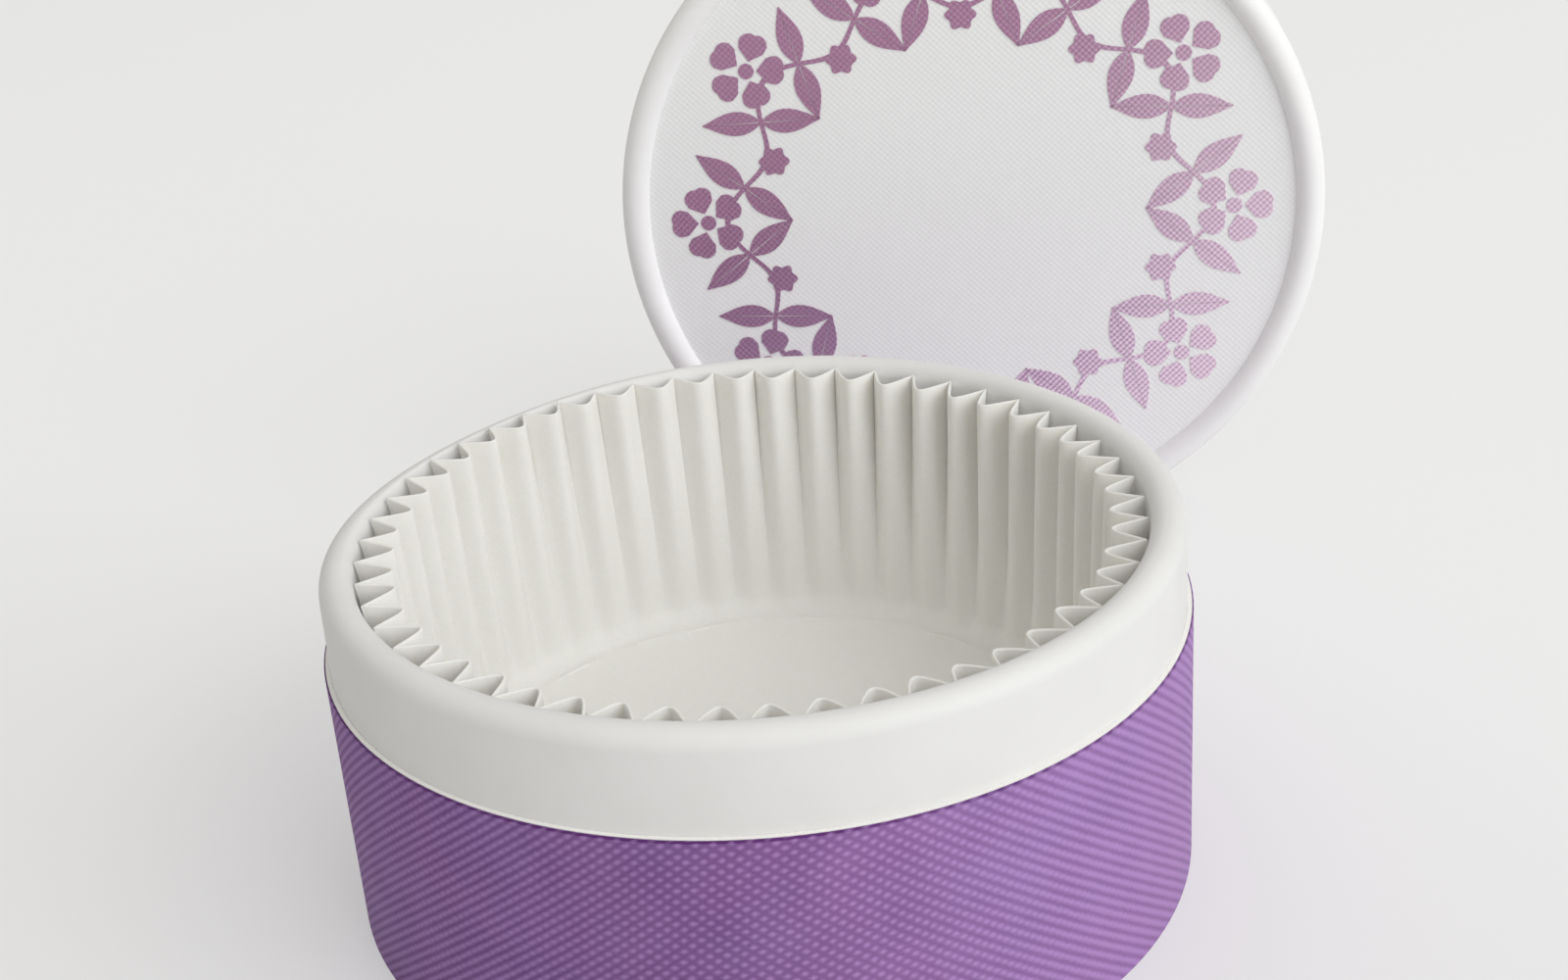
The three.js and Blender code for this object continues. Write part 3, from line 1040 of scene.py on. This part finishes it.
@dataclass
class Wreath:
    """The foil wreath on the lid's face: a waving stem with blossoms, buds and leaves."""

    underside: float
    place: Matrix
    thickness: float = 0.12 * MM
    radius: float = 46.0 * MM
    wave: float = 3.5 * MM
    blossoms: int = 10
    stem_width: float = 1.1 * MM
    blossom_radius: float = 8.0 * MM
    bud_radius: float = 3.2 * MM
    leaf_length: float = 12.0 * MM
    leaf_width: float = 5.0 * MM
    leaf_skew: float = 0.5
    leaf_fullness: float = 0.8
    leaf_steps: int = 10
    vein: float = 0.12 * MM
    vein_tip: float = 0.2
    stem_steps: int = 240
    stem_drop: float = 0.03 * MM
    petals: int = 5
    petal_steps: int = 14
    petal_waist: float = 0.62
    petal_notch: float = 0.07
    petal_notch_power: int = 4
    petal_spread: float = 0.86
    petal_root: float = 0.26
    heart_radius: float = 0.2
    heart_drop: float = 0.01 * MM
    heart_steps: int = 16
    bud_ripple: float = 0.12
    bud_ripples: int = 6
    bud_steps: int = 36

    def build(self, finish: Finish) -> bpy.types.Object:
        """Cuts every shape of the wreath from foil and lays it on the face.

        Args:
            finish: the piece's surface.

        Returns:
            The piece's object.
        """
        skin = Skin()
        self.lay_stem(skin)
        for number in range(self.blossoms):
            self.lay_sprig(skin, FULL_TURN * number / self.blossoms)
        return skin.to_object("lid_wreath", finish, Slot.MAUVE_FOIL, ["lid_foil"], self.place)

    def stem_radius(self, turn: float) -> float:
        """The stem's distance from the centre at an angle."""
        return self.radius + self.wave * math.cos(self.blossoms * turn)

    def lay(self, skin: Skin, outline: Sequence[Point], level: float) -> None:
        """Lays one flat shape of foil.

        Args:
            skin: the wreath so far.
            outline: the shape's edge, anticlockwise.
            level: how far its top lies below the foil's full thickness.
        """
        start = len(skin.points)
        count = len(outline)
        top = self.underside + self.thickness - level
        for height in (self.underside, top):
            skin.points.extend(Vector((x, y, height)) for x, y in outline)
        faces = [tuple(range(start + count, start + 2 * count)),
                 tuple(reversed(range(start, start + count)))]
        for number in range(count):
            after = (number + 1) % count
            faces.append((start + number, start + after, start + count + after, start + count + number))
        for face in faces:
            skin.faces.append(face)
            skin.map_places.append(tuple((skin.points[c].x, skin.points[c].y) for c in face))

    def lay_stem(self, skin: Skin) -> None:
        """Lays the waving stem as short lengths that follow each other.

        Args:
            skin: the wreath so far.
        """
        for number in range(self.stem_steps):
            ends = [FULL_TURN * (number + share) / self.stem_steps for share in (0.0, 1.0)]
            outline = []
            for turn, side in ((ends[0], -0.5), (ends[0], 0.5), (ends[1], 0.5), (ends[1], -0.5)):
                reach = self.stem_radius(turn) + side * self.stem_width
                outline.append((reach * math.cos(turn), reach * math.sin(turn)))
            self.lay(skin, outline, self.stem_drop)

    def lay_sprig(self, skin: Skin, turn: float) -> None:
        """Lays one blossom, one bud and the leaves between them.

        Args:
            skin: the wreath so far.
            turn: the blossom's angle round the face.
        """
        half_repeat = math.pi / self.blossoms
        blossom = polar(turn, self.stem_radius(turn) + self.blossom_radius / 2)
        for petal in range(self.petals):
            petal_turn = turn + FULL_TURN * petal / self.petals
            self.lay(skin, self.petal(blossom, petal_turn), 0.0)
        heart = rounded(blossom, lambda _: self.blossom_radius * self.heart_radius, self.heart_steps)
        self.lay(skin, heart, self.heart_drop)
        bud_turn = turn + half_repeat
        bud = polar(bud_turn, self.stem_radius(bud_turn) - self.bud_radius / 2)
        self.lay(skin, rounded(bud, self.bud_reach, self.bud_steps), 0.0)
        for side in (1.0, -1.0):
            crossing_turn = turn + side * half_repeat / 2
            crossing = polar(crossing_turn, self.stem_radius(crossing_turn))
            for flip in (0.0, math.pi):
                self.lay_leaf(skin, crossing, crossing_turn + side * self.leaf_skew + flip)

    def bud_reach(self, turn: float) -> float:
        """A bud's radius at an angle."""
        return self.bud_radius * (1.0 - self.bud_ripple * (1.0 - math.cos(self.bud_ripples * turn)))

    def petal(self, centre: Point, turn: float) -> list[Point]:
        """One notched petal of a blossom.

        Args:
            centre: the blossom's centre.
            turn: the petal's angle about it.

        Returns:
            The petal's outline.
        """
        outline = []
        for step in range(self.petal_steps + 1):
            across = -1.0 + 2.0 * step / self.petal_steps
            swelling = (1.0 - self.petal_waist) * math.sqrt(1.0 - across * across)
            notch = self.petal_notch * (1.0 - abs(across)) ** self.petal_notch_power
            reach = self.blossom_radius * (self.petal_waist + swelling - notch)
            aim = turn + across * math.pi / self.petals * self.petal_spread
            outline.append(swing((reach, 0.0), centre, aim))
        outline.append(swing((self.blossom_radius * self.petal_root, 0.0), centre, turn))
        return outline

    def lay_leaf(self, skin: Skin, root: Point, turn: float) -> None:
        """Lays a leaf in two halves with its vein open between them.

        Args:
            skin: the wreath so far.
            root: the leaf's root.
            turn: the way that it points.
        """
        for side in (1.0, -1.0):
            edge = []
            for step in range(self.leaf_steps + 1):
                share = step / self.leaf_steps
                half = self.leaf_width / 2 * math.sin(math.pi * share ** self.leaf_fullness)
                edge.append((self.leaf_length * share, side * max(half, self.vein)))
            middle = [(self.leaf_length, side * self.vein * self.vein_tip), (0.0, side * self.vein)]
            outline = edge + middle if side < 0 else (edge + middle)[::-1]
            self.lay(skin, [swing(p, root, turn) for p in outline], 0.0)


def polar(turn: float, reach: float) -> Point:
    """The point at an angle and a distance from the centre."""
    return reach * math.cos(turn), reach * math.sin(turn)


def swing(point: Point, root: Point, turn: float) -> Point:
    """Turns a point about the origin and moves it to a root."""
    cos, sin = math.cos(turn), math.sin(turn)
    return root[0] + point[0] * cos - point[1] * sin, root[1] + point[0] * sin + point[1] * cos


def rounded(centre: Point, reach: Callable[[float], float], steps: int) -> list[Point]:
    """A closed outline round a centre, its reach given for each angle."""
    turns = [FULL_TURN * step / steps for step in range(steps)]
    return [(centre[0] + reach(t) * math.cos(t), centre[1] + reach(t) * math.sin(t)) for t in turns]


@dataclass(frozen=True)
class Camera:
    """The camera at the photograph's place."""

    distance: float = 316.2 * MM
    height: float = 210.0 * MM
    yaw: float = 0.0181
    pitch: float = 0.4327
    roll: float = -0.0772
    lens_mm: float = 50.14
    sensor_mm: float = 36.0
    nearest: float = 0.01
    furthest: float = 50.0

    def build(self) -> bpy.types.Object:
        """Makes the camera and makes it the scene's own.

        Returns:
            The camera's object.
        """
        ahead = Vector((math.sin(self.yaw) * math.cos(self.pitch),
                        math.cos(self.yaw) * math.cos(self.pitch), -math.sin(self.pitch)))
        right = Vector((math.cos(self.yaw), -math.sin(self.yaw), 0.0))
        up = right.cross(ahead)
        cos, sin = math.cos(self.roll), math.sin(self.roll)
        rolled_right, rolled_up = right * cos + up * sin, up * cos - right * sin
        data = bpy.data.cameras.new("camera")
        data.lens, data.sensor_width = self.lens_mm, self.sensor_mm
        data.clip_start, data.clip_end = self.nearest, self.furthest
        camera = bpy.data.objects.new("camera", data)
        turn = Matrix((rolled_right, rolled_up, -ahead)).transposed()
        camera.matrix_world = Matrix.Translation((0.0, -self.distance, self.height)) @ turn.to_4x4()
        bpy.context.scene.collection.objects.link(camera)
        bpy.context.scene.camera = camera
        return camera


@dataclass(frozen=True)
class Studio:
    """A plain pale floor under soft light from the right."""

    floor_half: float = 12.0
    sky_low: float = 0.24
    sky_rise: float = 0.50
    sky_colour: Colour = (1.0, 0.98, 0.94)
    key_place: tuple[float, float, float] = (2.10, -2.04, 1.76)
    key_size: float = 3.0
    key_watts: float = 73.0
    key_colour: Colour = (0.97, 0.985, 1.0)

    def build(self) -> None:
        """Lays the floor, hangs the key light and sets the sky."""
        self.lay_floor()
        self.hang_key()
        self.set_sky()
        bpy.context.scene.view_settings.view_transform = "Standard"

    def lay_floor(self) -> None:
        """Lays the floor just under the base."""
        half = self.floor_half
        mesh = bpy.data.meshes.new("floor")
        corners = [(-half, -half, 0.0), (half, -half, 0.0), (half, half, 0.0), (-half, half, 0.0)]
        mesh.from_pydata(corners, [], [(0, 1, 2, 3)])
        floor = bpy.data.objects.new("floor", mesh)
        mesh.materials.append(FloorPaint().made)
        bpy.context.scene.collection.objects.link(floor)

    def hang_key(self) -> None:
        """Hangs the large soft lamp and turns it to the box."""
        data = bpy.data.lights.new("key", "AREA")
        data.shape = "SQUARE"
        data.size, data.energy = self.key_size, self.key_watts
        data.color = self.key_colour
        key = bpy.data.objects.new("key", data)
        key.location = self.key_place
        key.rotation_mode = "QUATERNION"
        key.rotation_quaternion = (-Vector(self.key_place)).to_track_quat("-Z", "Y")
        bpy.context.scene.collection.objects.link(key)

    def set_sky(self) -> None:
        """Sets the soft light all round, stronger overhead than along the floor."""
        world = bpy.data.worlds.new("sky")
        world.use_nodes = True
        nodes, links = world.node_tree.nodes, world.node_tree.links
        light = nodes["Background"]
        split, climb = nodes.new("ShaderNodeSeparateXYZ"), nodes.new("ShaderNodeMapRange")
        climb.inputs["To Min"].default_value = self.sky_low
        climb.inputs["To Max"].default_value = self.sky_low + self.sky_rise
        links.new(nodes.new("ShaderNodeTexCoord").outputs["Generated"], split.inputs["Vector"])
        links.new(split.outputs["Z"], climb.inputs["Value"])
        links.new(climb.outputs["Result"], light.inputs["Strength"])
        light.inputs["Color"].default_value = (*self.sky_colour, 1.0)
        bpy.context.scene.world = world


class FloorPaint(Finish):
    """Matte pale floor that looks paler to the camera than it lights the box, and keeps its shadow."""

    name = "floor_paint"
    colour: Colour = (0.82, 0.82, 0.82)
    seen_share = 0.30
    seen_rise = 0.18
    rise_axis = Vector((0.45, 0.89, 0.0))
    rise_start = -80.0 * MM
    rise_end = 120.0 * MM
    seen_strength = 1.0

    def __init__(self) -> None:
        """Mixes white into the matte floor, more towards the back, where the camera or a gloss sees it; the
        white fading towards the front left is painted shade.
        """
        super().__init__()
        self.shader.inputs["Base Color"].default_value = (*self.colour, 1.0)
        self.set_plain(Roughness=0.9, Specular_IOR_Level=0.0)
        white = self.nodes.new("ShaderNodeEmission")
        white.inputs["Strength"].default_value = self.seen_strength
        path, mix = self.nodes.new("ShaderNodeLightPath"), self.nodes.new("ShaderNodeMixShader")
        seen = self.sum(MathOperation.MAXIMUM, path.outputs["Is Camera Ray"], path.outputs["Is Glossy Ray"])
        # Painted shade: less white towards the front left, so the floor looks darker there, as the light falls
        # off.
        rise = self.share_along(self.rise_axis, self.rise_start, self.rise_end)
        share = self.scaled(rise, self.seen_rise, self.seen_share)
        self.links.new(self.sum(MathOperation.MULTIPLY, seen, share), mix.inputs["Fac"])
        self.links.new(self.shader.outputs["BSDF"], mix.inputs[1])
        self.links.new(white.outputs["Emission"], mix.inputs[2])
        self.links.new(mix.outputs["Shader"], self.output.inputs["Surface"])


def report(piece: bpy.types.Object) -> None:
    """Logs a finished piece and how many faces it has."""
    LOG.info("%s: %d faces", piece.name, len(piece.data.polygons))


def main() -> None:
    """Builds the camera, the studio and every piece of the box."""
    logging.basicConfig(level=logging.INFO, format="%(name)s %(message)s")
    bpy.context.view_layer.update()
    Camera().build()
    Studio().build()
    board, card = BoardEdge(), WhiteCard()
    base = Base()
    report(base.build_wrap(PurplePaper()))
    report(base.build_board(board))
    report(base.dress_bottom(board))
    tub = Tub(radius=base.tub_radius)
    report(tub.build(card))
    liner = Liner(
        top_radius=tub.rim_inner - LINER_RIM_GAP,
        top=tub.top - LINER_TOP_BELOW_RIM,
        underside=tub.floor_top + GLUE_GAP,
    )
    report(liner.build(LinerPaper()))
    lid = Lid()
    report(lid.build_wall(LidCardPaintedLighter()))
    report(lid.build_panel(LinenCard()))
    wreath = Wreath(underside=lid.panel_top + GLUE_GAP, place=lid.place)
    report(wreath.build(MauveFoil()))


if __name__ == "__main__":
    main()
